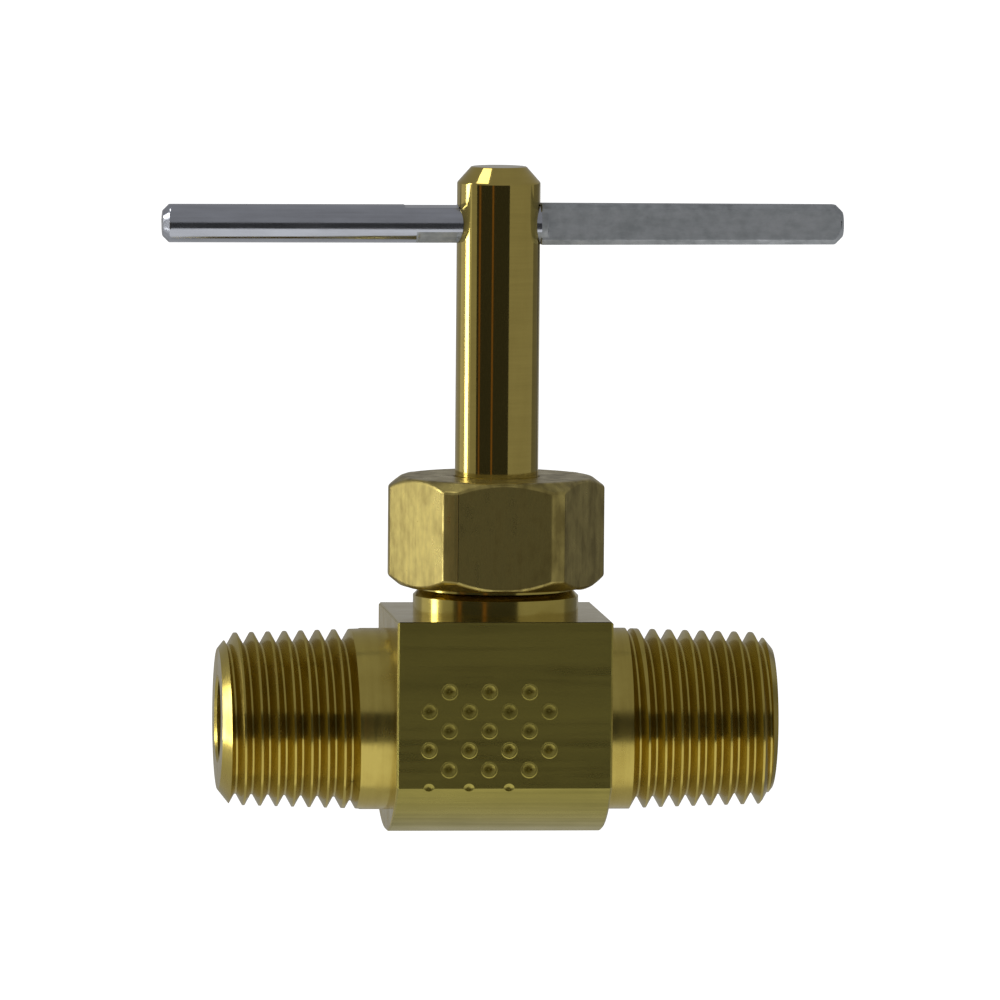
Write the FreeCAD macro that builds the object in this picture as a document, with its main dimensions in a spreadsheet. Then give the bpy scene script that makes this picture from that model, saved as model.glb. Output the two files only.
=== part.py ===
import FreeCAD, Part
import math
import os
import Sketcher

# A small brass needle valve with two male pipe ends, a T bar and a hexagonal packing nut.
# The origin is where the pipe axis meets the stem axis: +X runs along the pipe, +Z up the stem,
# and the front of the body faces -Y. All lengths are in millimetres. The valve is shut.

os.makedirs("parts", exist_ok=True)
doc = FreeCAD.newDocument("needle_valve")
sheet = doc.addObject("Spreadsheet::Sheet", "sizes")
sub_parts = []


class Size:
    """A number together with the expression over the sheet's cells that gives it."""

    def __init__(self, value, text):
        self.value = value
        self.text = text

    def __add__(self, other):
        other = as_size(other)
        return Size(self.value + other.value, f"({self.text} + {other.text})")

    def __sub__(self, other):
        other = as_size(other)
        return Size(self.value - other.value, f"({self.text} - {other.text})")

    def __mul__(self, other):
        other = as_size(other)
        return Size(self.value * other.value, f"({self.text} * {other.text})")

    def __truediv__(self, other):
        other = as_size(other)
        return Size(self.value / other.value, f"({self.text} / {other.text})")

    def __neg__(self):
        return Size(-self.value, f"(0 - {self.text})")


def as_size(number):
    """Take a plain number as a size."""
    return number if isinstance(number, Size) else Size(float(number), repr(float(number)))


def cosine(angle):
    """The cosine of an angle that is a size in degrees."""
    return Size(math.cos(math.radians(angle.value)), f"cos({angle.text} * 1 deg)")


def sine(angle):
    """The sine of an angle that is a size in degrees."""
    return Size(math.sin(math.radians(angle.value)), f"sin({angle.text} * 1 deg)")


def dimension(alias, number):
    """Enter one driving dimension in the sheet."""
    dimension.row += 1
    sheet.set(f"A{dimension.row}", alias)
    sheet.set(f"B{dimension.row}", str(number))
    sheet.setAlias(f"B{dimension.row}", alias)
    return Size(float(number), f"sizes.{alias}")


dimension.row = 0

# Body block: square bar with a crowned underside, drawn along X
block_width = dimension("block_width", 12.3)
block_depth = dimension("block_depth", 12.5)
block_top = dimension("block_top", 6.1)
crown_drop = dimension("crown_drop", 6.53)
crown_radius = dimension("crown_radius", 10.4)
crown_offset = dimension("crown_offset", 1.2)
edge_break = dimension("edge_break", 0.12)

# Pipe ends: tapered pipe thread, 27 to the inch, on both ends
overall_length = dimension("overall_length", 31.75)
neck_step = dimension("neck_step", 0.035)
neck_length = dimension("neck_length", 1.7)
thread_diameter = dimension("thread_diameter", 10.29)
thread_pitch = dimension("thread_pitch", 0.9407)
thread_depth = dimension("thread_depth", 0.64)
thread_crest = dimension("thread_crest", 0.12)
thread_root = dimension("thread_root", 0.1)
thread_taper = dimension("thread_taper", 16)
thread_relief = dimension("thread_relief", 0.06)
thread_fade = dimension("thread_fade", 0.45)
fade_overlap = dimension("fade_overlap", 0.01)
fade_step = dimension("fade_step", 0.01)
start_turn = dimension("start_turn", 0.07)
right_lead_in = dimension("right_lead_in", 0.27)
right_run_out = dimension("right_run_out", 1.75)
left_lead_in = dimension("left_lead_in", 0.41)
left_run_out = dimension("left_run_out", 2.25)
end_bevel = dimension("end_bevel", 0.844)
end_chamfer = dimension("end_chamfer", 0.7)
port_diameter = dimension("port_diameter", 4.76)
port_wall = dimension("port_wall", 3.825)
port_countersink = dimension("port_countersink", 0.15)

# Boss, spigot and the bores on the stem axis
boss_step = dimension("boss_step", 0.355)
boss_height = dimension("boss_height", 1.35)
boss_chamfer = dimension("boss_chamfer", 0.35)
spigot_wall = dimension("spigot_wall", 0.8)
spigot_chamfer = dimension("spigot_chamfer", 0.3)
chamber_floor = dimension("chamber_floor", 2.0)
seat_height = dimension("seat_height", 1.0)
seat_flare = dimension("seat_flare", 0.7)
orifice_diameter = dimension("orifice_diameter", 2.4)
needle_room = dimension("needle_room", 0.7)
inlet_diameter = dimension("inlet_diameter", 2.2)
inlet_slope = dimension("inlet_slope", 22)
inlet_rise = dimension("inlet_rise", 0.9)
outlet_diameter = dimension("outlet_diameter", 2.0)
outlet_slope = dimension("outlet_slope", 13)
outlet_drop = dimension("outlet_drop", 1.2)
outlet_start = dimension("outlet_start", 1.5)
drill_overlap = dimension("drill_overlap", 0.56)

# Punched dimples on the front
dimple_diameter = dimension("dimple_diameter", 0.66)
dimple_depth = dimension("dimple_depth", 0.24)
dimple_tip = dimension("dimple_tip", 0.12)
dimple_overcut = dimension("dimple_overcut", 0.1)
dimple_column = dimension("dimple_column", 2.28)
dimple_row = dimension("dimple_row", 1.11)
dimple_left = dimension("dimple_left", 4.3)
dimple_top = dimension("dimple_top", 2.12)
lip_offset = dimension("lip_offset", 0.07)
lip_round = dimension("lip_round", 0.1)
lip_height = dimension("lip_height", 0.04)

# Stem
stem_diameter = dimension("stem_diameter", 4.76)
stem_above_nut = dimension("stem_above_nut", 17.68)
stem_end_width = dimension("stem_end_width", 0.8)
stem_end_length = dimension("stem_end_length", 0.9)
thread_step = dimension("thread_step", 0.795)
stem_thread_pitch = dimension("stem_thread_pitch", 0.9071)
stem_turns = dimension("stem_turns", 3)
land_step = dimension("land_step", 0.425)
land_bottom = dimension("land_bottom", 0.4)
groove_bottom = dimension("groove_bottom", 0.2)
groove_width = dimension("groove_width", 1.2)
groove_depth = dimension("groove_depth", 0.8)
needle_slope = dimension("needle_slope", 0.25)
needle_length = dimension("needle_length", 3.9)
needle_tip = dimension("needle_tip", 0.25)
stem_chamfer = dimension("stem_chamfer", 0.25)

# T bar
bar_diameter = dimension("bar_diameter", 2.2)
bar_length = dimension("bar_length", 38.95)
bar_offset = dimension("bar_offset", 0.27)
bar_below_top = dimension("bar_below_top", 3.27)
bar_end = dimension("bar_end", 0.38)
pressed_spread = dimension("pressed_spread", 0.16)
pressed_squeeze = dimension("pressed_squeeze", 0.5)
pressed_corner = dimension("pressed_corner", 0.3)
pressed_taper = dimension("pressed_taper", 0.18)
pressed_bevel = dimension("pressed_bevel", 0.48)
facet_depth = dimension("facet_depth", 0.1)
upper_facet_start = dimension("upper_facet_start", 5.4)
lower_facet_start = dimension("lower_facet_start", 4.6)
upper_facet_angle = dimension("upper_facet_angle", 97)
lower_facet_angle = dimension("lower_facet_angle", 228)

# Packing nut and what it squeezes
nut_wall = dimension("nut_wall", 1.135)
nut_corner_turning = dimension("nut_corner_turning", 0.235)
nut_height = dimension("nut_height", 6.24)
nut_roof = dimension("nut_roof", 1.31)
nut_turn = dimension("nut_turn", 0.55)
nut_top_step = dimension("nut_top_step", 0.105)
nut_bottom_step = dimension("nut_bottom_step", 0.055)
nut_chamfer = dimension("nut_chamfer", 0.55)
nut_mouth = dimension("nut_mouth", 0.3)
packing_width = dimension("packing_width", 1.19)
washer_thickness = dimension("washer_thickness", 0.5)
ring_thickness = dimension("ring_thickness", 0.9)
gland_thickness = dimension("gland_thickness", 1.1)

# Clearances, all on the radius but for the gaps along an axis
thread_clearance = dimension("thread_clearance", 0.05)
land_clearance = dimension("land_clearance", 0.1)
seat_clearance = dimension("seat_clearance", 0.03)
seal_clearance = dimension("seal_clearance", 0.02)
shank_clearance = dimension("shank_clearance", 0.07)
gland_clearance = dimension("gland_clearance", 0.05)
bar_interference = dimension("bar_interference", 0.01)
bar_clearance = dimension("bar_clearance", 0.02)
nut_gap = dimension("nut_gap", 0.22)
nut_room = dimension("nut_room", 0.4)
stop_gap = dimension("stop_gap", 0.1)
doc.recompute()

# Diameters that follow from one another, outwards from the stem
stem_thread = stem_diameter + thread_step * 2
land_diameter = stem_thread - land_step * 2
groove_diameter = land_diameter - groove_depth * 2
land_bore = land_diameter + land_clearance * 2
seat_mouth = orifice_diameter + seat_flare * 2
packing_bore = stem_diameter + packing_width * 2
spigot_diameter = packing_bore + spigot_wall * 2
boss_diameter = spigot_diameter + boss_step * 2
nut_bore = spigot_diameter + thread_clearance * 2
nut_flats = nut_bore + nut_wall * 2
neck_diameter = thread_diameter + neck_step * 2
pressed_height = bar_diameter + pressed_spread
pressed_thickness = bar_diameter - pressed_squeeze

# Heights along Z and places along X that several pieces share
face_x = block_width / 2
end_x = overall_length / 2
port_floor = land_bore / 2 + port_wall
boss_top = block_top + boss_height
nut_bottom = boss_top + nut_gap
nut_top = nut_bottom + nut_height
nut_ceiling = nut_top - nut_roof
spigot_top = nut_ceiling - nut_room
gland_z = nut_ceiling - gland_thickness
upper_ring_z = gland_z - ring_thickness
lower_ring_z = upper_ring_z - ring_thickness
packing_floor = lower_ring_z - washer_thickness
stem_top = nut_top + stem_above_nut
bar_height = stem_top - bar_below_top
stem_lift = stem_turns * stem_thread_pitch
ring_centre = groove_bottom + groove_width / 2
ring_outer = land_bore / 2 - seal_clearance
ring_inner = groove_diameter / 2 + seal_clearance
ring_wire = (ring_outer - ring_inner) / 2
land_bore_top = ring_centre + ring_wire + stem_lift + stop_gap
needle_tip_z = -(land_bottom + needle_length)
orifice_top = -(chamber_floor + seat_height)
orifice_floor = needle_tip_z - needle_room
zero = as_size(0)
overshoot = as_size(1)
smallest_cut = 1e-3


def origin_plane(body, role):
    """The origin plane of a body with the given role."""
    for feature in body.Origin.OriginFeatures:
        if feature.Role == role:
            return feature
    raise ValueError(f"{body.Label} has no {role}")


def new_body(label):
    """Add an empty body."""
    body = doc.addObject("PartDesign::Body", label)
    body.Label = label
    return body


def keep(piece):
    """Count a piece among the sub-parts that are written out."""
    sub_parts.append(piece)


def raise_to(piece, height):
    """Stand a piece on the stem axis at a height."""
    piece.setExpression("Placement.Base.z", height.text)


def new_sketch(body, name, role, offset=None):
    """Add a sketch on one of the body's own origin planes, moved along its normal."""
    sketch = body.newObject("Sketcher::SketchObject", name)
    sketch.AttachmentSupport = [(origin_plane(body, role), "")]
    sketch.MapMode = "FlatFace"
    if offset is not None:
        sketch.setExpression("AttachmentOffset.Base.z", offset.text)
    return sketch


def hold(sketch, kind, arguments, size):
    """Add one dimension to a sketch and bind it."""
    index = sketch.addConstraint(Sketcher.Constraint(kind, *arguments, size.value))
    sketch.setExpression(f"Constraints[{index}]", size.text)


def hold_point(sketch, line, end, across, up):
    """Fix one end of a line by its two distances from the sketch's origin."""
    hold(sketch, "DistanceX", (-1, 1, line, end), across)
    hold(sketch, "DistanceY", (-1, 1, line, end), up)


def draw_outline(sketch, corners):
    """Draw a closed outline of straight lines with every corner bound."""
    points = [FreeCAD.Vector(across.value, up.value, 0) for across, up in corners]
    first = sketch.GeometryCount
    count = len(points)
    for i in range(count):
        sketch.addGeometry(Part.LineSegment(points[i], points[(i + 1) % count]))
    for i in range(count):
        following = first + (i + 1) % count
        sketch.addConstraint(Sketcher.Constraint("Coincident", first + i, 2, following, 1))
    for i, (across, up) in enumerate(corners):
        hold_point(sketch, first + i, 1, across, up)


def outline(body, name, role, corners, offset=None):
    """A sketch that holds one closed outline."""
    sketch = new_sketch(body, name, role, offset)
    draw_outline(sketch, [(as_size(across), as_size(up)) for across, up in corners])
    return sketch


def turned(body, name, corners, axis="V_Axis", cut=False):
    """Turn an outline in the XZ plane about the stem axis or the pipe axis."""
    sketch = outline(body, f"{name}_outline", "XZ_Plane", corners)
    feature = body.newObject("PartDesign::Groove" if cut else "PartDesign::Revolution", name)
    feature.Profile = sketch
    feature.ReferenceAxis = (sketch, [axis])
    feature.Angle = 360
    return feature


def removed_volume(body, before):
    """Recompute and make sure that the last feature took metal away."""
    doc.recompute()
    removed = before - body.Shape.Volume
    if removed < smallest_cut:
        raise RuntimeError(f"{body.Tip.Name} in {body.Label} cuts nothing")
    return removed


# ---- valve body -------------------------------------------------------------------------

def bar_section(body):
    """The bar's section: flat top and sides, and one shallow arc underneath."""
    sketch = new_sketch(body, "bar_section", "YZ_Plane")
    half = block_depth / 2
    centre_up = crown_radius - crown_drop
    front_reach = half + crown_offset
    rear_reach = half - crown_offset
    radius = crown_radius.value
    centre = FreeCAD.Vector(crown_offset.value, centre_up.value, 0)
    front_low = centre_up.value - math.sqrt(radius ** 2 - front_reach.value ** 2)
    rear_low = centre_up.value - math.sqrt(radius ** 2 - rear_reach.value ** 2)
    front_angle = math.atan2(front_low - centre.y, -front_reach.value)
    rear_angle = math.atan2(rear_low - centre.y, rear_reach.value)
    top_front = FreeCAD.Vector(-half.value, block_top.value, 0)
    top_rear = FreeCAD.Vector(half.value, block_top.value, 0)
    low_front = FreeCAD.Vector(-half.value, front_low, 0)
    low_rear = FreeCAD.Vector(half.value, rear_low, 0)
    circle = Part.Circle(centre, FreeCAD.Vector(0, 0, 1), radius)
    sketch.addGeometry(Part.LineSegment(top_front, top_rear))
    sketch.addGeometry(Part.LineSegment(top_rear, low_rear))
    sketch.addGeometry(Part.ArcOfCircle(circle, front_angle, rear_angle))
    sketch.addGeometry(Part.LineSegment(low_front, top_front))
    for joint in ((0, 2, 1, 1), (1, 2, 2, 2), (2, 1, 3, 1), (3, 2, 0, 1)):
        sketch.addConstraint(Sketcher.Constraint("Coincident", *joint))
    sketch.addConstraint(Sketcher.Constraint("Vertical", 1))
    sketch.addConstraint(Sketcher.Constraint("Vertical", 3))
    hold_point(sketch, 0, 1, -half, block_top)
    hold_point(sketch, 0, 2, half, block_top)
    hold_point(sketch, 2, 3, crown_offset, centre_up)
    hold(sketch, "Radius", (2,), crown_radius)
    return sketch


def thread_radius(distance):
    """Crest radius of the pipe thread at a distance from the stem axis."""
    thread_start = face_x + neck_length
    return thread_diameter / 2 - (distance - thread_start) / (thread_taper * 2)


def pipe_end(body, name, side):
    """One pipe end as turned: a plain neck, the tapered thread blank and the end chamfer."""
    chamfer_x = end_x - end_chamfer
    thread_start = face_x + neck_length
    corners = [
        (zero, zero),
        (end_x, zero),
        (end_x, thread_radius(end_x) - end_bevel),
        (chamfer_x, thread_radius(chamfer_x)),
        (thread_start, thread_radius(thread_start)),
        (thread_start - edge_break, neck_diameter / 2),
        (zero, neck_diameter / 2),
    ]
    turned(body, name, [(across * side, up) for across, up in corners], "H_Axis")


def port(body, name, side):
    """The blind bore in one pipe end, with its mouth countersunk."""
    radius = port_diameter / 2
    outside = end_x + overshoot
    corners = [
        (port_floor, zero),
        (outside, zero),
        (outside, radius + port_countersink),
        (end_x, radius + port_countersink),
        (end_x - port_countersink, radius),
        (port_floor, radius),
    ]
    turned(body, name, [(across * side, up) for across, up in corners], "H_Axis", cut=True)


def drilled(body, name, start, slope, side, diameter):
    """A slanted drilling from a point on the XZ plane, rising outwards into one port."""
    reach = (port_floor + drill_overlap - start[0]) / cosine(slope)
    along = (cosine(slope) * side, sine(slope))
    across = (-sine(slope) * side, cosine(slope))
    radius = diameter / 2
    far = (start[0] + along[0] * reach, start[1] + along[1] * reach)
    corners = [
        start,
        far,
        (far[0] + across[0] * radius, far[1] + across[1] * radius),
        (start[0] + across[0] * radius, start[1] + across[1] * radius),
    ]
    sketch = outline(body, f"{name}_outline", "XZ_Plane", corners)
    axis = sketch.addGeometry(Part.LineSegment(
        FreeCAD.Vector(start[0].value, start[1].value, 0),
        FreeCAD.Vector(far[0].value, far[1].value, 0)), True)
    sketch.addConstraint(Sketcher.Constraint("Coincident", axis, 1, 0, 1))
    sketch.addConstraint(Sketcher.Constraint("Coincident", axis, 2, 0, 2))
    groove = body.newObject("PartDesign::Groove", name)
    groove.Profile = sketch
    groove.ReferenceAxis = (sketch, ["Axis0"])
    groove.Angle = 360


def lip(body, name, across, up):
    """The low ring of metal that the punch pushes up round one dimple."""
    ring = body.newObject("PartDesign::AdditiveTorus", name)
    ring.AttachmentSupport = [(origin_plane(body, "XZ_Plane"), "")]
    ring.MapMode = "FlatFace"
    ring.setExpression("AttachmentOffset.Base.x", across.text)
    ring.setExpression("AttachmentOffset.Base.y", up.text)
    ring.setExpression("AttachmentOffset.Base.z", (block_depth / 2 + lip_height - lip_round).text)
    ring.setExpression("Radius1", (dimple_diameter / 2 + lip_offset).text)
    ring.setExpression("Radius2", lip_round.text)


def dimples(body):
    """Rows of cone-shaped punch marks on the front face, with a lip unless they lie on its edge."""
    rows = (3, 4, 3, 4, 3, 3)
    height = dimple_depth + dimple_overcut
    widening = (dimple_diameter - dimple_tip) / 2 * height / dimple_depth
    for row, count in enumerate(rows):
        stagger = 0.5 if row in (0, 2, 4) else 0
        for column in range(count):
            across = dimple_column * (column + stagger) - dimple_left
            up = dimple_top - dimple_row * row
            if row < len(rows) - 1:
                lip(body, f"lip_{row + 1}_{column + 1}", across, up)
            cone = body.newObject("PartDesign::SubtractiveCone", f"dimple_{row + 1}_{column + 1}")
            cone.AttachmentSupport = [(origin_plane(body, "XZ_Plane"), "")]
            cone.MapMode = "FlatFace"
            cone.setExpression("AttachmentOffset.Base.x", across.text)
            cone.setExpression("AttachmentOffset.Base.y", up.text)
            cone.setExpression("AttachmentOffset.Base.z", (block_depth / 2 - dimple_depth).text)
            cone.setExpression("Radius1", (dimple_tip / 2).text)
            cone.setExpression("Radius2", (dimple_tip / 2 + widening).text)
            cone.setExpression("Height", height.text)


body = new_body("body_blank")
block = body.newObject("PartDesign::Pad", "block")
block.Profile = bar_section(body)
block.SideType = "Symmetric"
block.setExpression("Length", block_width.text)
doc.recompute()

end_faces = [f"Face{i + 1}" for i, face in enumerate(block.Shape.Faces)
             if abs(abs(face.CenterOfMass.x) - face_x.value) < 1e-6]
broken = body.newObject("PartDesign::Chamfer", "broken_edges")
broken.Base = (block, end_faces)
broken.setExpression("Size", edge_break.text)
doc.recompute()
solid = body.Shape.Volume
dimples(body)
removed_volume(body, solid)

pipe_end(body, "right_end", 1)
pipe_end(body, "left_end", -1)
turned(body, "boss_and_spigot", [
    (zero, zero),
    (boss_diameter / 2, zero),
    (boss_diameter / 2, boss_top - boss_chamfer),
    (boss_diameter / 2 - boss_chamfer, boss_top),
    (spigot_diameter / 2, boss_top),
    (spigot_diameter / 2, spigot_top - spigot_chamfer),
    (spigot_diameter / 2 - spigot_chamfer, spigot_top),
    (zero, spigot_top),
])
doc.recompute()
solid = body.Shape.Volume

port(body, "right_port", 1)
solid -= removed_volume(body, solid)
port(body, "left_port", -1)
solid -= removed_volume(body, solid)
turned(body, "stem_bores", [
    (zero, orifice_floor),
    (orifice_diameter / 2, orifice_floor),
    (orifice_diameter / 2, orifice_top),
    (seat_mouth / 2, -chamber_floor),
    (land_bore / 2, -chamber_floor),
    (land_bore / 2, land_bore_top),
    (stem_thread / 2 + thread_clearance, land_bore_top),
    (stem_thread / 2 + thread_clearance, packing_floor),
    (packing_bore / 2, packing_floor),
    (packing_bore / 2, spigot_top + overshoot),
    (zero, spigot_top + overshoot),
], cut=True)
solid -= removed_volume(body, solid)
drilled(body, "inlet_drilling", (zero, orifice_floor + inlet_rise), inlet_slope, -1, inlet_diameter)
solid -= removed_volume(body, solid)
drilled(body, "outlet_drilling", (outlet_start, -outlet_drop), outlet_slope, 1, outlet_diameter)
solid -= removed_volume(body, solid)


def swept_groove(height, radius, cone_angle):
    """Sweep the thread's form up a right-hand helix on a cone that opens along Z."""
    pitch = sheet.thread_pitch
    deep = sheet.thread_depth
    relief = sheet.thread_relief
    half_root = sheet.thread_root / 2
    half_mouth = (pitch - sheet.thread_crest) / 2
    half_outside = half_mouth + relief * (half_mouth - half_root) / deep
    outside = radius + deep + relief
    form = Part.makePolygon([
        FreeCAD.Vector(radius, 0, -half_root),
        FreeCAD.Vector(outside, 0, -half_outside),
        FreeCAD.Vector(outside, 0, half_outside),
        FreeCAD.Vector(radius, 0, half_root),
        FreeCAD.Vector(radius, 0, -half_root),
    ])
    helix = Part.makeLongHelix(pitch, height, radius, cone_angle)
    sweep = Part.BRepOffsetAPI.MakePipeShell(Part.Wire(helix.Edges))
    sweep.setFrenetMode(True)
    sweep.add(Part.Wire(form.Edges))
    sweep.build()
    sweep.makeSolid()
    return sweep.shape()


def pipe_thread(blank, name, side, lead_in, run_out):
    """Cut one end's right-hand thread: tapered turns, then a short fade out at the neck."""
    start = end_x + lead_in + thread_pitch * start_turn
    length = (start - face_x - run_out).value
    root = (thread_radius(start) - thread_depth).value
    taper_angle = math.degrees(math.atan(1 / (2 * sheet.thread_taper)))
    last_root = root + length / (2 * sheet.thread_taper)
    fade_length = sheet.thread_pitch * sheet.thread_fade
    fade_angle = math.degrees(math.atan((sheet.thread_depth + sheet.thread_relief) / fade_length))
    turns = swept_groove(length, root, taper_angle)
    fade = swept_groove(fade_length, last_root + sheet.fade_step, fade_angle)
    inward = FreeCAD.Vector(-side, 0, 0)
    upward = FreeCAD.Vector(0, 0, 1)
    faced = FreeCAD.Rotation(upward, inward.cross(upward), inward, "ZXY")
    at_end = FreeCAD.Placement(FreeCAD.Vector(side * start.value, 0, 0), faced)
    turned_back = FreeCAD.Rotation(upward, -360 * sheet.start_turn)
    at_start = at_end * FreeCAD.Placement(FreeCAD.Vector(), turned_back)
    fade_start = length - sheet.thread_pitch * sheet.fade_overlap
    climb = FreeCAD.Placement(
        upward * fade_start, FreeCAD.Rotation(upward, 360 * fade_start / sheet.thread_pitch))
    for part_name, shape, place in (
        (f"{name}_turns", turns, at_start),
        (f"{name}_fade", fade, at_start * climb),
    ):
        cutter = doc.addObject("Part::Feature", f"{part_name}_cutter")
        cutter.Shape = shape
        cutter.Placement = place
        cut = doc.addObject("Part::Cut", part_name)
        cut.Base = blank
        cut.Tool = cutter
        before = blank.Shape.Volume
        doc.recompute()
        if before - cut.Shape.Volume < smallest_cut:
            raise RuntimeError(f"{part_name} cuts nothing")
        blank = cut
    return blank


threaded = pipe_thread(body, "right_thread", 1, right_lead_in, right_run_out)
threaded = pipe_thread(threaded, "left_thread", -1, left_lead_in, left_run_out)
threaded.Label = "valve_body"
keep(threaded)

# ---- stem: one turned piece from the needle to the top end ---------------------------------

stem = new_body("stem")
thread_top = packing_floor - stop_gap - stem_lift
thread_bottom = land_bore_top + stop_gap
needle_at_seat = orifice_diameter / 2 - seat_clearance


def needle_radius(height):
    """The needle's radius at a height: it fits the orifice at the bottom of the seat."""
    return needle_at_seat + (height - orifice_top) * needle_slope


turned(stem, "stem_turning", [
    (zero, needle_tip_z),
    (needle_radius(needle_tip_z) - needle_tip, needle_tip_z),
    (needle_radius(needle_tip_z + needle_tip), needle_tip_z + needle_tip),
    (needle_radius(-land_bottom), -land_bottom),
    (land_diameter / 2 - stem_chamfer, -land_bottom),
    (land_diameter / 2, stem_chamfer - land_bottom),
    (land_diameter / 2, groove_bottom),
    (groove_diameter / 2, groove_bottom),
    (groove_diameter / 2, groove_bottom + groove_width),
    (land_diameter / 2, groove_bottom + groove_width),
    (land_diameter / 2, thread_bottom),
    (stem_thread / 2 - stem_chamfer, thread_bottom),
    (stem_thread / 2, thread_bottom + stem_chamfer),
    (stem_thread / 2, thread_top - stem_chamfer),
    (stem_thread / 2 - stem_chamfer, thread_top),
    (stem_diameter / 2, thread_top),
    (stem_diameter / 2, stem_top - stem_end_length),
    (stem_diameter / 2 - stem_end_width, stem_top),
    (zero, stem_top),
])
doc.recompute()
solid = stem.Shape.Volume
hole_sketch = new_sketch(stem, "bar_hole_outline", "YZ_Plane")
hole_radius = bar_diameter / 2 - bar_interference
hole_centre = FreeCAD.Vector(0, bar_height.value, 0)
hole_sketch.addGeometry(Part.Circle(hole_centre, FreeCAD.Vector(0, 0, 1), hole_radius.value))
hold_point(hole_sketch, 0, 3, zero, bar_height)
hold(hole_sketch, "Radius", (0,), hole_radius)
bar_hole = stem.newObject("PartDesign::Pocket", "bar_hole")
bar_hole.Profile = hole_sketch
bar_hole.SideType = "Symmetric"
bar_hole.setExpression("Length", (stem_diameter * 2).text)
removed_volume(stem, solid)
keep(stem)

# ---- O-ring in the stem's groove -----------------------------------------------------------

o_ring = doc.addObject("Part::Torus", "stem_o_ring")
o_ring.Label = "stem_o_ring"
o_ring.setExpression("Radius1", ((ring_outer + ring_inner) / 2).text)
o_ring.setExpression("Radius2", ring_wire.text)
raise_to(o_ring, ring_centre)
keep(o_ring)

# ---- T bar: round on the left, pressed flat to the right of the stem -------------------------

bar = new_body("handle_bar")
left_x = bar_offset - bar_length / 2
right_x = bar_offset + bar_length / 2
pressed_x = stem_diameter / 2 + bar_clearance
turned(bar, "round_bar", [
    (left_x, zero),
    (left_x, bar_diameter / 2 - bar_end),
    (left_x + bar_end, bar_diameter / 2),
    (pressed_x + bar_end, bar_diameter / 2),
    (pressed_x + bar_end, zero),
], "H_Axis")

half_up = pressed_height / 2
half_across = pressed_thickness / 2
pressed_sketch = outline(bar, "pressed_section", "YZ_Plane", [
    (pressed_corner - half_across, -half_up),
    (half_across - pressed_corner, -half_up),
    (half_across, pressed_corner - half_up),
    (half_across, half_up - pressed_corner),
    (half_across - pressed_corner, half_up),
    (pressed_corner - half_across, half_up),
    (-half_across, half_up - pressed_corner),
    (-half_across, pressed_corner - half_up),
], pressed_x)
pressed = bar.newObject("PartDesign::Pad", "pressed_bar")
pressed.Profile = pressed_sketch
pressed.setExpression("Length", (right_x - pressed_x).text)
pressed.setExpression("TaperAngle", (-pressed_taper).text)
doc.recompute()
solid = bar.Shape.Volume

pressed_end = half_up - pressed_bevel
turned(bar, "pressed_end", [
    (right_x, pressed_end),
    (right_x + overshoot, pressed_end),
    (right_x + overshoot, pressed_end + overshoot),
    (right_x - overshoot, pressed_end + overshoot),
], "H_Axis", cut=True)
solid -= removed_volume(bar, solid)


def facet(name, angle, start):
    """A narrow flat that the press leaves along the round bar beside the stem."""
    near = bar_diameter / 2 - facet_depth
    far = near + bar_diameter / 2
    reach = bar_diameter / 2
    outward = (cosine(angle), sine(angle))
    along = (-sine(angle), cosine(angle))
    corners = []
    for distance, width in ((near, -reach), (far, -reach), (far, reach), (near, reach)):
        corners.append((outward[0] * distance + along[0] * width,
                        outward[1] * distance + along[1] * width))
    sketch = outline(bar, f"{name}_outline", "YZ_Plane", corners, -pressed_x)
    cut = bar.newObject("PartDesign::Pocket", name)
    cut.Profile = sketch
    cut.setExpression("Length", (start - pressed_x).text)


facet("upper_facet", upper_facet_angle, upper_facet_start)
solid -= removed_volume(bar, solid)
facet("lower_facet", lower_facet_angle, lower_facet_start)
solid -= removed_volume(bar, solid)
raise_to(bar, bar_height)
keep(bar)

# ---- packing nut -----------------------------------------------------------------------------

nut = new_body("packing_nut")
corner_reach = nut_flats / math.sqrt(3)
hexagon = []
for k in range(6):
    corner_angle = math.radians(60 * k)
    hexagon.append((corner_reach * round(math.cos(corner_angle), 12),
                    corner_reach * round(math.sin(corner_angle), 12)))
hex_pad = nut.newObject("PartDesign::Pad", "hexagon")
hex_pad.Profile = outline(nut, "hexagon_outline", "XY_Plane", hexagon)
hex_pad.setExpression("Length", nut_height.text)
doc.recompute()
solid = nut.Shape.Volume
corner_radius = corner_reach - nut_corner_turning
turned(nut, "turned_corners", [
    (nut_flats / 2 - nut_bottom_step, zero),
    (corner_radius, nut_chamfer),
    (corner_radius, nut_height - nut_chamfer),
    (nut_flats / 2 - nut_top_step, nut_height),
    (nut_flats, nut_height),
    (nut_flats, zero),
], cut=True)
solid -= removed_volume(nut, solid)
nut_hole = stem_diameter / 2 + shank_clearance
turned(nut, "nut_bores", [
    (zero, -overshoot),
    (nut_bore / 2 + nut_mouth, -overshoot),
    (nut_bore / 2 + nut_mouth, zero),
    (nut_bore / 2, nut_mouth),
    (nut_bore / 2, nut_height - nut_roof),
    (nut_hole, nut_height - nut_roof),
    (nut_hole, nut_height + overshoot),
    (zero, nut_height + overshoot),
], cut=True)
solid -= removed_volume(nut, solid)
raise_to(nut, nut_bottom)
nut.setExpression("Placement.Rotation.Yaw", (-nut_turn).text)
keep(nut)

# ---- packing, from the floor of its bore up to the nut ------------------------------------------


def packing_piece(label, inner, outer, thickness, height):
    """A flat ring round the shank at a height."""
    ring = new_body(label)
    turned(ring, f"{label}_turning", [
        (inner, zero),
        (outer, zero),
        (outer, thickness),
        (inner, thickness),
    ])
    raise_to(ring, height)
    keep(ring)


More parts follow.
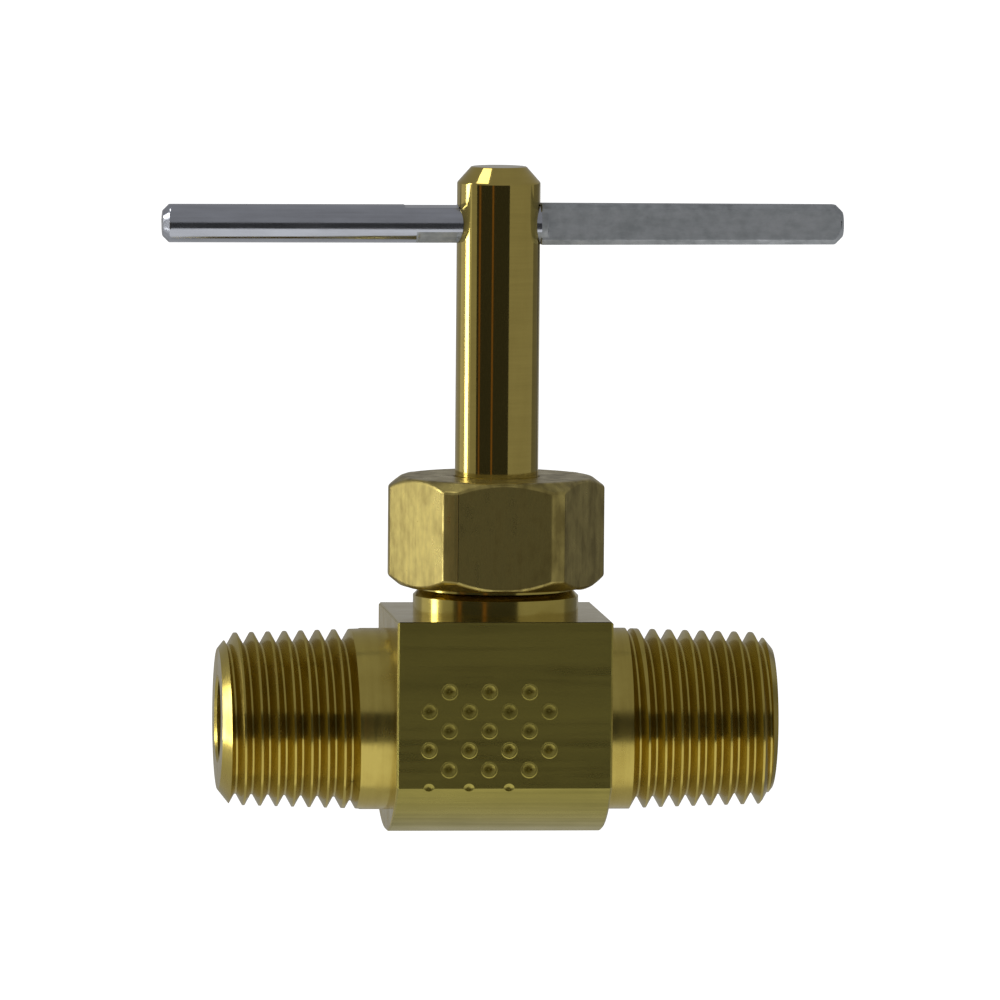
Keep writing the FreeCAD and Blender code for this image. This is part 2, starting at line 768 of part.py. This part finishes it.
loose_inner = stem_diameter / 2 + shank_clearance
loose_outer = packing_bore / 2 - gland_clearance
seal_inner = stem_diameter / 2 + seal_clearance
seal_outer = packing_bore / 2 - seal_clearance
packing_piece("packing_washer", loose_inner, loose_outer, washer_thickness, packing_floor)
packing_piece("packing_ring_lower", seal_inner, seal_outer, ring_thickness, lower_ring_z)
packing_piece("packing_ring_upper", seal_inner, seal_outer, ring_thickness, upper_ring_z)
packing_piece("gland_ring", loose_inner, loose_outer, gland_thickness, gland_z)

# ---- check every object and write the sub-parts --------------------------------------------------

doc.recompute()
for item in doc.Objects:
    if "Invalid" in item.State or "Error" in item.State:
        raise RuntimeError(f"{item.Name} failed: {item.State}")
for piece in sub_parts:
    if piece.Shape.isNull() or not piece.Shape.isValid():
        raise RuntimeError(f"{piece.Label} has no valid shape")
for piece in sub_parts:
    piece.Shape.exportStep(f"parts/{piece.Label}.step")
    print(f"{piece.Label}: {piece.Shape.Volume:.3f} mm3, {len(piece.Shape.Solids)} solid")
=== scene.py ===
import math

import bmesh
import bpy
from mathutils import Matrix, Vector


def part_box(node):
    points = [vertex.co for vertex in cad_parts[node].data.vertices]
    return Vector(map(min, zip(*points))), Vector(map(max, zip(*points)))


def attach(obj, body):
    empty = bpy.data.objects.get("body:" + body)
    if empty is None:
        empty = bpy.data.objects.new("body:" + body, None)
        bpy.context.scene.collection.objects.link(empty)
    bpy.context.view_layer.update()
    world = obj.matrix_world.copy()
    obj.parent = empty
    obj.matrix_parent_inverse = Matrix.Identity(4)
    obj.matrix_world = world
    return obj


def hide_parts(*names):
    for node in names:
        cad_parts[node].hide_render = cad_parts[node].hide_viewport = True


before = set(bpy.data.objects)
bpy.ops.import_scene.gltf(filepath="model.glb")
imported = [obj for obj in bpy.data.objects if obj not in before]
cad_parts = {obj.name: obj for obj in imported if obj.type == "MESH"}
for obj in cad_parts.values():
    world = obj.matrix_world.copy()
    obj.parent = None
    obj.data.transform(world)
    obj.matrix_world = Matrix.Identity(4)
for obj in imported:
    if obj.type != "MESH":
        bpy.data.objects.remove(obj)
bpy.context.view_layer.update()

scene = bpy.context.scene
mm = 0.001

# ---- valve body -----------------------------------------------------------------------------
# One piece of drawn brass bar, square with a crowned underside. The pipe ends, the boss and the
# spigot are turned on it, the pipe threads are cut with a die, and the dimples are punched.


def add_piece(name, work):
    """Put a finished bmesh in the scene as an object at the origin."""
    mesh = bpy.data.meshes.new(name)
    work.to_mesh(mesh)
    work.free()
    if "custom_normal" in mesh.attributes:
        mesh.attributes.remove(mesh.attributes["custom_normal"])
    piece = bpy.data.objects.new(name, mesh)
    scene.collection.objects.link(piece)
    return piece


def merged_copy(node_name):
    """A copy of a CAD node's mesh with its loose triangles joined."""
    work = bmesh.new()
    work.from_mesh(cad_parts[node_name].data)
    bmesh.ops.remove_doubles(work, verts=work.verts, dist=1e-7)
    return work


def shade(piece, sharp_angle):
    """Smooth the faces, and keep the edges sharp that turn by more than an angle in degrees."""
    piece.data.shade_smooth()
    piece.data.set_sharp_from_angle(angle=math.radians(sharp_angle))


def soften(piece, width, segments, angle):
    """Round every edge that turns by more than an angle in degrees, and keep the flats flat."""
    edge = piece.modifiers.new("edges", "BEVEL")
    edge.width = width
    edge.segments = segments
    edge.limit_method = "ANGLE"
    edge.angle_limit = math.radians(angle)
    edge.use_clamp_overlap = False
    weighted = piece.modifiers.new("flats", "WEIGHTED_NORMAL")
    weighted.weight = 90
    weighted.keep_sharp = True


def new_group(name, inputs, outputs):
    """An empty shader node group with named sockets."""
    group = bpy.data.node_groups.new(name, "ShaderNodeTree")
    kinds = {"vector": "NodeSocketVector", "colour": "NodeSocketColor", "value": "NodeSocketFloat"}
    for socket, kind, default in inputs:
        made = group.interface.new_socket(socket, in_out="INPUT", socket_type=kinds[kind])
        if default is not None:
            made.default_value = default
    for socket, kind in outputs:
        group.interface.new_socket(socket, in_out="OUTPUT", socket_type=kinds[kind])
    return group, group.nodes.new("NodeGroupInput"), group.nodes.new("NodeGroupOutput")


def noise(tree, vector, scale, detail, roughness=0.5):
    """A noise texture on a vector."""
    made = tree.nodes.new("ShaderNodeTexNoise")
    made.inputs["Detail"].default_value = detail
    made.inputs["Roughness"].default_value = roughness
    feed(tree, made.inputs["Scale"], scale)
    tree.links.new(vector, made.inputs["Vector"])
    return made.outputs["Fac"]


def feed(tree, socket, value):
    """Give a socket a link or a plain value."""
    if isinstance(value, bpy.types.NodeSocket):
        tree.links.new(value, socket)
    else:
        socket.default_value = value


def calculate(tree, operation, first, second=0.0):
    """A math node on links or plain numbers."""
    made = tree.nodes.new("ShaderNodeMath")
    made.operation = operation
    feed(tree, made.inputs[0], first)
    feed(tree, made.inputs[1], second)
    return made.outputs[0]


def spread(tree, value, low, high, to_low, to_high):
    """Map a value from one range to another, clamped."""
    made = tree.nodes.new("ShaderNodeMapRange")
    sockets = ("Value", "From Min", "From Max", "To Min", "To Max")
    for name, item in zip(sockets, (value, low, high, to_low, to_high)):
        feed(tree, made.inputs[name], item)
    return made.outputs["Result"]


def blend_colours(tree, factor, first, second):
    """Mix two colours."""
    made = tree.nodes.new("ShaderNodeMix")
    made.data_type = "RGBA"
    feed(tree, made.inputs["Factor"], factor)
    feed(tree, made.inputs["A"], first)
    feed(tree, made.inputs["B"], second)
    return made.outputs["Result"]


def metal_finish():
    """Worked metal: fine tool lines along one direction over wide dull patches."""
    group, entry, leave = new_group("metal_finish", [
        ("Line Vector", "vector", None),
        ("Patch Vector", "vector", None),
        ("Bright", "colour", (0.5, 0.4, 0.1, 1)),
        ("Dull", "colour", (0.3, 0.25, 0.1, 1)),
        ("Line Scale", "value", 1.0),
        ("Patch Scale", "value", 0.3),
        ("Line Share", "value", 0.5),
        ("Dullness", "value", 0.5),
        ("Smoothest", "value", 0.1),
        ("Roughest", "value", 0.3),
    ], [("Colour", "colour"), ("Roughness", "value"), ("Height", "value")])
    given = entry.outputs
    coarse_to_fine = 0.23
    fine_share = 0.6
    coarse_share = 0.4
    colour_from, colour_to = 0.38, 0.62
    rough_from, rough_to = 0.36, 0.64
    fine = noise(group, given["Line Vector"], given["Line Scale"], detail=3, roughness=0.6)
    coarse_scale = calculate(group, "MULTIPLY", given["Line Scale"], coarse_to_fine)
    coarse = noise(group, given["Line Vector"], coarse_scale, detail=1)
    patch = noise(group, given["Patch Vector"], given["Patch Scale"], detail=4, roughness=0.55)
    fine_part = calculate(group, "MULTIPLY", fine, fine_share)
    coarse_part = calculate(group, "MULTIPLY", coarse, coarse_share)
    lines = calculate(group, "ADD", fine_part, coarse_part)
    worn = spread(group, given["Line Share"], 0, 1, patch, lines)
    mask = spread(group, worn, colour_from, colour_to, 0.0, 1.0)
    amount = calculate(group, "MULTIPLY", mask, given["Dullness"])
    colour = blend_colours(group, amount, given["Bright"], given["Dull"])
    rough = spread(group, worn, rough_from, rough_to, given["Smoothest"], given["Roughest"])
    group.links.new(colour, leave.inputs["Colour"])
    group.links.new(rough, leave.inputs["Roughness"])
    group.links.new(coarse, leave.inputs["Height"])
    return group


finish_group = metal_finish()


def metal(name):
    """A metal material with nothing linked yet, its node tree, shader and object coordinates."""
    material = bpy.data.materials.new(name)
    material.use_nodes = True
    tree = material.node_tree
    shader = tree.nodes["Principled BSDF"]
    shader.inputs["Metallic"].default_value = 1
    place = tree.nodes.new("ShaderNodeTexCoord")
    return material, tree, shader, place.outputs["Object"]


def stretched(tree, vector, scale):
    """Coordinates turned into millimetres, with a share of each axis."""
    made = tree.nodes.new("ShaderNodeMapping")
    made.inputs["Scale"].default_value = [share / mm for share in scale]
    tree.links.new(vector, made.inputs["Vector"])
    return made.outputs["Vector"]


def finish(tree, line_vector, patch_vector, **values):
    """One use of the worked-metal group."""
    made = tree.nodes.new("ShaderNodeGroup")
    made.node_tree = finish_group
    tree.links.new(line_vector, made.inputs["Line Vector"])
    tree.links.new(patch_vector, made.inputs["Patch Vector"])
    for socket, value in values.items():
        made.inputs[socket.replace("_", " ")].default_value = value
    return made.outputs


def bump(tree, height, strength, distance):
    """A bump from a height, with its distance in millimetres."""
    made = tree.nodes.new("ShaderNodeBump")
    made.inputs["Strength"].default_value = strength
    made.inputs["Distance"].default_value = distance * mm
    tree.links.new(height, made.inputs["Height"])
    return made.outputs["Normal"]


def body_look():
    """Drawn faces with long lines, turned ends with fine rings round the pipe or the stem axis."""
    block_side = 6.1 * mm
    boss_foot = 6.05 * mm
    along_bar = (0.03, 1, 1)
    round_pipe = (1, 0.03, 0.03)
    round_boss = (0.03, 0.03, 1)
    material, tree, shader, place = metal("body_brass")
    split = tree.nodes.new("ShaderNodeSeparateXYZ")
    tree.links.new(place, split.inputs[0])
    side = calculate(tree, "ABSOLUTE", split.outputs["X"])
    on_pipe = calculate(tree, "GREATER_THAN", side, block_side)
    on_boss = calculate(tree, "GREATER_THAN", split.outputs["Z"], boss_foot)
    patch = stretched(tree, place, (1, 1, 1))
    drawn = finish(tree, stretched(tree, place, along_bar), patch,
                   Bright=(0.47, 0.40, 0.095, 1), Dull=(0.28, 0.24, 0.055, 1), Line_Share=0.8,
                   Line_Scale=2.2, Patch_Scale=0.35, Dullness=1.0, Smoothest=0.24, Roughest=0.42)
    turned = finish(tree, stretched(tree, place, round_pipe), patch,
                    Bright=(0.55, 0.44, 0.11, 1), Dull=(0.42, 0.32, 0.07, 1),
                    Line_Scale=3.0, Patch_Scale=0.5, Dullness=0.8, Smoothest=0.14, Roughest=0.3)
    boss = finish(tree, stretched(tree, place, round_boss), patch,
                  Bright=(0.55, 0.44, 0.11, 1), Dull=(0.42, 0.32, 0.07, 1),
                  Line_Scale=3.0, Patch_Scale=0.5, Dullness=0.6, Smoothest=0.08, Roughest=0.2)
    colour = blend_colours(tree, on_pipe, drawn["Colour"], turned["Colour"])
    colour = blend_colours(tree, on_boss, colour, boss["Colour"])
    rough = spread(tree, on_pipe, 0, 1, drawn["Roughness"], turned["Roughness"])
    rough = spread(tree, on_boss, 0, 1, rough, boss["Roughness"])
    height = spread(tree, on_pipe, 0, 1, drawn["Height"], turned["Height"])
    height = spread(tree, on_boss, 0, 1, height, boss["Height"])
    tree.links.new(colour, shader.inputs["Base Color"])
    tree.links.new(rough, shader.inputs["Roughness"])
    tree.links.new(bump(tree, height, strength=0.2, distance=0.005), shader.inputs["Normal"])
    return material


body = add_piece("body", merged_copy("valve_body"))
shade(body, sharp_angle=25)
body.data.materials.append(body_look())
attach(body, "root")
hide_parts("valve_body")

# ---- packing nut ----------------------------------------------------------------------------
# Drawn hexagon bar in brass, bored and chamfered, with its corners turned down, then tumbled. It
# screws down over the spigot and squeezes the packing onto the stem.
nut_low, nut_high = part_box("packing_nut")
nut_height = nut_high.z - nut_low.z
nut_flats = 11.11 * mm
nut_turn = 0.55
nut_corner_turning = 0.235 * mm
nut_top_step = 0.105 * mm
nut_bottom_step = 0.055 * mm
nut_corner_radius = nut_flats / math.sqrt(3) - nut_corner_turning
nut_bore_radius = 4.42 * mm
nut_hole_radius = 2.45 * mm
nut_roof = 1.31 * mm
nut_mouth = 0.3 * mm
nut_chamfer = 0.55 * mm
nut_corner_round = 0.6 * mm
overshoot = 0.001 * mm


def turned_ring(corners, steps):
    """Spin a closed outline of radius and height round the stem axis."""
    work = bmesh.new()
    points = [work.verts.new((radius, 0, height)) for radius, height in corners]
    sides = [work.edges.new((points[i], points[(i + 1) % len(points)])) for i in range(len(points))]
    bmesh.ops.spin(work, geom=points + sides, axis=(0, 0, 1), cent=(0, 0, 0),
                   steps=steps, angle=2 * math.pi, use_merge=True)
    bmesh.ops.remove_doubles(work, verts=work.verts, dist=1e-8)
    bmesh.ops.recalc_face_normals(work, faces=work.faces)
    return work


def keep_boolean(piece, tool, operation):
    """Cut or intersect a piece with a tool, and throw the tool away."""
    cut = piece.modifiers.new("cut", "BOOLEAN")
    cut.operation = operation
    cut.solver = "EXACT"
    cut.object = tool
    graph = bpy.context.evaluated_depsgraph_get()
    mesh = bpy.data.meshes.new_from_object(piece.evaluated_get(graph))
    piece.modifiers.remove(cut)
    old = piece.data
    piece.data = mesh
    mesh.name = piece.name
    bpy.data.meshes.remove(old)
    bpy.data.objects.remove(tool)


hexagon = bmesh.new()
bmesh.ops.create_circle(hexagon, cap_ends=True, segments=6, radius=nut_flats / math.sqrt(3))
bmesh.ops.rotate(hexagon, verts=hexagon.verts, cent=(0, 0, 0),
                 matrix=Matrix.Rotation(math.radians(90 - nut_turn), 3, "Z"))
bmesh.ops.translate(hexagon, verts=hexagon.verts, vec=(0, 0, nut_low.z))
raised = bmesh.ops.extrude_face_region(hexagon, geom=hexagon.faces[:])
tops = [item for item in raised["geom"] if isinstance(item, bmesh.types.BMVert)]
bmesh.ops.translate(hexagon, verts=tops, vec=(0, 0, nut_height))
corners = []
for edge in hexagon.edges:
    if abs(edge.verts[0].co.z - edge.verts[1].co.z) > nut_height / 2:
        corners.append(edge)
bmesh.ops.bevel(hexagon, geom=corners, offset=nut_corner_round, offset_type="OFFSET",
                segments=6, profile=0.5, affect="EDGES", material=-1)
bmesh.ops.recalc_face_normals(hexagon, faces=hexagon.faces)
nut = add_piece("nut", hexagon)
turning = add_piece("nut_turning", turned_ring([
    (nut_bore_radius + nut_mouth, nut_low.z - overshoot),
    (nut_flats / 2 - nut_bottom_step, nut_low.z - overshoot),
    (nut_corner_radius, nut_low.z + nut_chamfer),
    (nut_corner_radius, nut_high.z - nut_chamfer),
    (nut_flats / 2 - nut_top_step, nut_high.z + overshoot),
    (nut_hole_radius, nut_high.z + overshoot),
    (nut_hole_radius, nut_high.z - nut_roof),
    (nut_bore_radius, nut_high.z - nut_roof),
    (nut_bore_radius, nut_low.z + nut_mouth),
], steps=192))
keep_boolean(nut, turning, "INTERSECT")
shade(nut, sharp_angle=20)
soften(nut, width=0.12 * mm, segments=3, angle=20)


def nut_look():
    """Tumbled brass with the vertical grain of drawn hexagon bar."""
    material, tree, shader, place = metal("nut_brass")
    along_bar = (1, 1, 0.06)
    long_patches = (1, 1, 0.6)
    drawn = finish(tree, stretched(tree, place, along_bar), stretched(tree, place, long_patches),
                   Bright=(0.54, 0.44, 0.14, 1), Dull=(0.23, 0.18, 0.055, 1), Line_Share=0.45,
                   Line_Scale=2.0, Patch_Scale=1.1, Dullness=1.0, Smoothest=0.24, Roughest=0.42)
    tree.links.new(drawn["Colour"], shader.inputs["Base Color"])
    tree.links.new(drawn["Roughness"], shader.inputs["Roughness"])
    tree.links.new(bump(tree, drawn["Height"], strength=0.2, distance=0.008), shader.inputs["Normal"])
    return material


nut.data.materials.clear()
nut.data.materials.append(nut_look())
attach(nut, "root")
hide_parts("packing_nut")

# ---- stem -----------------------------------------------------------------------------------
# One turned and polished brass rod: the needle, the O-ring groove, the thread and the shank.
# The T bar is pressed through a cross hole near its top.


def stem_look():
    """Bright turned brass with fine rings."""
    material, tree, shader, place = metal("stem_brass")
    round_stem = (0.05, 0.05, 1)
    long_patches = (1, 1, 0.2)
    turned = finish(tree, stretched(tree, place, round_stem), stretched(tree, place, long_patches),
                    Bright=(0.56, 0.44, 0.12, 1), Dull=(0.44, 0.34, 0.09, 1),
                    Line_Scale=6.0, Patch_Scale=0.9, Dullness=0.6, Smoothest=0.04, Roughest=0.11)
    tree.links.new(turned["Colour"], shader.inputs["Base Color"])
    tree.links.new(turned["Roughness"], shader.inputs["Roughness"])
    tree.links.new(bump(tree, turned["Height"], strength=0.2, distance=0.004), shader.inputs["Normal"])
    return material


stem = add_piece("stem_rod", merged_copy("stem"))
shade(stem, sharp_angle=25)
soften(stem, width=0.05 * mm, segments=2, angle=30)
stem.data.materials.append(stem_look())
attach(stem, "stem_and_handle")
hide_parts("stem")

# ---- T bar ----------------------------------------------------------------------------------
# Bright round steel bar. The right side is pressed flat so that the bar can't slide out of the
# stem, and the press leaves two narrow flats beside the stem on the left.
bar_low, bar_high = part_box("handle_bar")


def bar_look():
    """Drawn steel: long fine scratches, and dull mottling where it was pressed."""
    right_flat_start = 2.4 * mm
    left_flat_end = -4.75 * mm
    left_flat_drop = 0.42 * mm
    along_bar = (0.03, 1, 1)
    short_lines = (0.3, 1, 1)
    material, tree, shader, place = metal("bar_steel")
    split = tree.nodes.new("ShaderNodeSeparateXYZ")
    tree.links.new(place, split.inputs[0])
    pressed = calculate(tree, "GREATER_THAN", split.outputs["X"], right_flat_start)
    bar_middle = (bar_low.z + bar_high.z) / 2
    low = calculate(tree, "LESS_THAN", split.outputs["Z"], bar_middle - left_flat_drop)
    near = calculate(tree, "GREATER_THAN", split.outputs["X"], left_flat_end)
    pressed = calculate(tree, "MAXIMUM", pressed, calculate(tree, "MULTIPLY", low, near))
    bright = finish(tree, stretched(tree, place, along_bar), stretched(tree, place, short_lines),
                    Bright=(0.50, 0.52, 0.57, 1), Dull=(0.34, 0.35, 0.38, 1),
                    Line_Scale=5.0, Patch_Scale=1.2, Dullness=0.6, Smoothest=0.1, Roughest=0.24)
    dull = finish(tree, stretched(tree, place, short_lines), stretched(tree, place, (1, 1, 1)),
                  Bright=(0.47, 0.49, 0.51, 1), Dull=(0.32, 0.34, 0.35, 1),
                  Line_Scale=2.5, Patch_Scale=1.4, Dullness=0.9, Smoothest=0.5, Roughest=0.75)
    colour = blend_colours(tree, pressed, bright["Colour"], dull["Colour"])
    rough = spread(tree, pressed, 0, 1, bright["Roughness"], dull["Roughness"])
    height = spread(tree, pressed, 0, 1, bright["Height"], dull["Height"])
    tree.links.new(colour, shader.inputs["Base Color"])
    tree.links.new(rough, shader.inputs["Roughness"])
    tree.links.new(bump(tree, height, strength=0.3, distance=0.008), shader.inputs["Normal"])
    return material


bar = add_piece("t_bar", merged_copy("handle_bar"))
shade(bar, sharp_angle=25)
soften(bar, width=0.05 * mm, segments=2, angle=25)
bar.data.materials.append(bar_look())
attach(bar, "stem_and_handle")
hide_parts("handle_bar")

# ---- packing set ----------------------------------------------------------------------------
# Two pressed packing rings lie on a brass washer in the spigot, and the nut squeezes them with a
# loose brass gland ring. A rubber O-ring in the stem's groove seals the bore below them.


def soft_look(name, light, dark, roughness, scale, height):
    """A dull moulded material with fine mottling."""
    mottling = 0.08
    material = bpy.data.materials.new(name)
    material.use_nodes = True
    tree = material.node_tree
    shader = tree.nodes["Principled BSDF"]
    place = tree.nodes.new("ShaderNodeTexCoord")
    grain = stretched(tree, place.outputs["Object"], (1, 1, 1))
    made = finish(tree, grain, grain, Bright=light, Dull=dark, Line_Scale=scale, Patch_Scale=scale / 4,
                  Line_Share=0.5, Dullness=1.0, Smoothest=roughness - mottling,
                  Roughest=roughness + mottling)
    tree.links.new(made["Colour"], shader.inputs["Base Color"])
    tree.links.new(made["Roughness"], shader.inputs["Roughness"])
    tree.links.new(bump(tree, made["Height"], strength=0.4, distance=height), shader.inputs["Normal"])
    return material


def ring_look():
    """Turned brass rings, dull from the bar they were parted off."""
    material, tree, shader, place = metal("ring_brass")
    round_stem = (0.05, 0.05, 1)
    turned = finish(tree, stretched(tree, place, round_stem), stretched(tree, place, (1, 1, 1)),
                    Bright=(0.52, 0.42, 0.12, 1), Dull=(0.36, 0.29, 0.09, 1), Line_Share=0.6,
                    Line_Scale=5.0, Patch_Scale=1.2, Dullness=0.8, Smoothest=0.2, Roughest=0.36)
    tree.links.new(turned["Colour"], shader.inputs["Base Color"])
    tree.links.new(turned["Roughness"], shader.inputs["Roughness"])
    tree.links.new(bump(tree, turned["Height"], strength=0.3, distance=0.01), shader.inputs["Normal"])
    return material


def give_look(names, material):
    """Put one material on CAD nodes that keep their own shape."""
    for name in names:
        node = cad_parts[name]
        node.data.materials.clear()
        node.data.materials.append(material)


give_look(["gland_ring", "packing_washer"], ring_look())
packing_look = soft_look("packing_white", light=(0.82, 0.8, 0.75, 1), dark=(0.68, 0.65, 0.58, 1),
                         roughness=0.5, scale=6.0, height=0.02)
give_look(["packing_ring_lower", "packing_ring_upper"], packing_look)
rubber_look = soft_look("rubber_black", light=(0.03, 0.03, 0.032, 1), dark=(0.015, 0.015, 0.016, 1),
                        roughness=0.45, scale=9.0, height=0.01)
give_look(["stem_o_ring"], rubber_look)

# ---- floor, light and camera ----------------------------------------------------------------
# The valve hangs over a wide pale floor in a soft grey room whose walls look white, with a tall
# lamp at its left and a small one overhead. A low round screen shows only in reflections: dark in
# front with two narrow warm strips, bright at the left, and grey or dim at the other sides.


def plain_look(name, colour, strength, glow=(1, 1, 1)):
    """A matt material that glows evenly."""
    material = bpy.data.materials.new(name)
    material.use_nodes = True
    shader = material.node_tree.nodes["Principled BSDF"]
    shader.inputs["Base Color"].default_value = (*colour, 1)
    shader.inputs["Roughness"].default_value = 1
    shader.inputs["Specular IOR Level"].default_value = 0
    shader.inputs["Emission Color"].default_value = (*glow, 1)
    shader.inputs["Emission Strength"].default_value = strength
    return material


def flat_sheet(name, width, height, turn, look):
    """A flat rectangle placed by a matrix."""
    work = bmesh.new()
    bmesh.ops.create_grid(work, x_segments=1, y_segments=1, size=0.5)
    bmesh.ops.scale(work, verts=work.verts, vec=(width, height, 1))
    bmesh.ops.transform(work, verts=work.verts, matrix=turn)
    piece = add_piece(name, work)
    piece.data.materials.append(look)
    return piece


floor_height = -0.12
floor_side = 16
floor_look = plain_look("floor_white", (0.8, 0.8, 0.8), strength=0.86)
flat_sheet("floor", floor_side, floor_side, Matrix.Translation((0, 0, floor_height)), floor_look)

screen_black = (0.02, 0.02, 0.02)
reflected = {
    "dark": plain_look("screen_dark", screen_black, strength=0.02),
    "grey": plain_look("screen_grey", screen_black, strength=0.32),
    "bright": plain_look("screen_bright", screen_black, strength=0.6),
    "warm": plain_look("screen_warm", screen_black, strength=0.2, glow=(1, 0.45, 0.1)),
    "dim": plain_look("screen_dim", screen_black, strength=0.15),
    "near": plain_look("table_near", screen_black, strength=0.86),
    # The table half behind the valve glows at about half strength: painted shade for the valve's own
    # shadow on the table, seen only in reflections.
    "shaded": plain_look("table_painted_shade", screen_black, strength=0.45),
}
shades = list(reflected)
view_left = math.radians(5.55)
screen_radius = 0.25
screen_top = 0.058
screen_sides = 240
table_height = floor_height + 0.002
table_half_side = screen_radius + 0.01
screen_bands = (
    (-125, "grey"), (-80, "bright"), (-60, "grey"), (-53, "dark"), (-49, "warm"),
    (-17, "dark"), (-13, "warm"), (31, "dark"), (112, "grey"), (155, "dim"),
)


def band_of(face):
    """Which shade a face of the screen has, by where it stands round the valve."""
    middle = face.calc_center_median()
    bearing = math.degrees(math.atan2(middle.x, -middle.y) + view_left)
    for limit, shade_name in screen_bands:
        if bearing < limit:
            return shades.index(shade_name)
    return shades.index("grey")


wall = bmesh.new()
bmesh.ops.create_circle(wall, segments=screen_sides, radius=screen_radius)
bmesh.ops.translate(wall, verts=wall.verts, vec=(0, 0, table_height))
upper = bmesh.ops.extrude_edge_only(wall, edges=wall.edges[:])
raised = [item for item in upper["geom"] if isinstance(item, bmesh.types.BMVert)]
bmesh.ops.translate(wall, verts=raised, vec=(0, 0, screen_top - table_height))
for face in wall.faces:
    face.material_index = band_of(face)
table = bmesh.ops.create_grid(wall, x_segments=2, y_segments=2, size=table_half_side)
bmesh.ops.translate(wall, verts=table["verts"], vec=(0, 0, table_height))
# The screen's table glows fully in front of the valve and dimmer behind it; the dimmer half is painted
# shade.
for face in wall.faces:
    if abs(face.normal.z) > 0.5:
        face.material_index = shades.index("near" if face.calc_center_median().y < 0 else "shaded")
screen = add_piece("screen", wall)
for look in reflected.values():
    screen.data.materials.append(look)
screen.visible_camera = False
screen.visible_shadow = False
screen.visible_diffuse = False


def lamp_at(name, place, width, height, power):
    """A rectangular lamp at a place, facing the valve."""
    aim = Vector((0, 0, 0.01))
    lamp = bpy.data.lights.new(name, "AREA")
    lamp.shape = "RECTANGLE"
    lamp.size = width
    lamp.size_y = height
    lamp.energy = power
    light = bpy.data.objects.new(name, lamp)
    light.location = place
    light.rotation_euler = (aim - Vector(place)).to_track_quat("-Z", "Y").to_euler()
    light.visible_camera = False
    scene.collection.objects.link(light)


lamp_at("left_lamp", (-0.2263, 0.0379, 0.046), width=0.045, height=0.23, power=0.22)
lamp_at("overhead_lamp", (-0.22, 0.03, 0.5), width=0.16, height=0.16, power=0.24)

room_grey = (0.33, 0.33, 0.34, 1)
seen_white = (1, 1, 1, 1)
world = bpy.data.worlds.new("studio")
scene.world = world
world.use_nodes = True
room = world.node_tree
room.nodes["Background"].inputs["Color"].default_value = room_grey
backdrop = room.nodes.new("ShaderNodeBackground")
backdrop.inputs["Color"].default_value = seen_white
straight = room.nodes.new("ShaderNodeLightPath")
join = room.nodes.new("ShaderNodeMixShader")
room.links.new(straight.outputs["Is Camera Ray"], join.inputs[0])
room.links.new(room.nodes["Background"].outputs[0], join.inputs[1])
room.links.new(backdrop.outputs[0], join.inputs[2])
room.links.new(join.outputs[0], room.nodes["World Output"].inputs["Surface"])

view_above = math.radians(4.8)
view_roll = math.radians(0.466)
camera_distance = 0.8
camera_right = 0.000314
camera_up = 0.012474
camera = bpy.data.objects.new("camera", bpy.data.cameras.new("camera"))
scene.collection.objects.link(camera)
scene.camera = camera
camera.data.lens = 504
camera.data.sensor_width = 36
camera.data.clip_start = 0.01
camera.data.clip_end = 20
turn = (Matrix.Rotation(-view_left, 4, "Z") @ Matrix.Rotation(math.pi / 2 - view_above, 4, "X")
        @ Matrix.Rotation(view_roll, 4, "Z"))
camera.matrix_world = turn @ Matrix.Translation((camera_right, camera_up, camera_distance))
scene.view_settings.view_transform = "Standard"
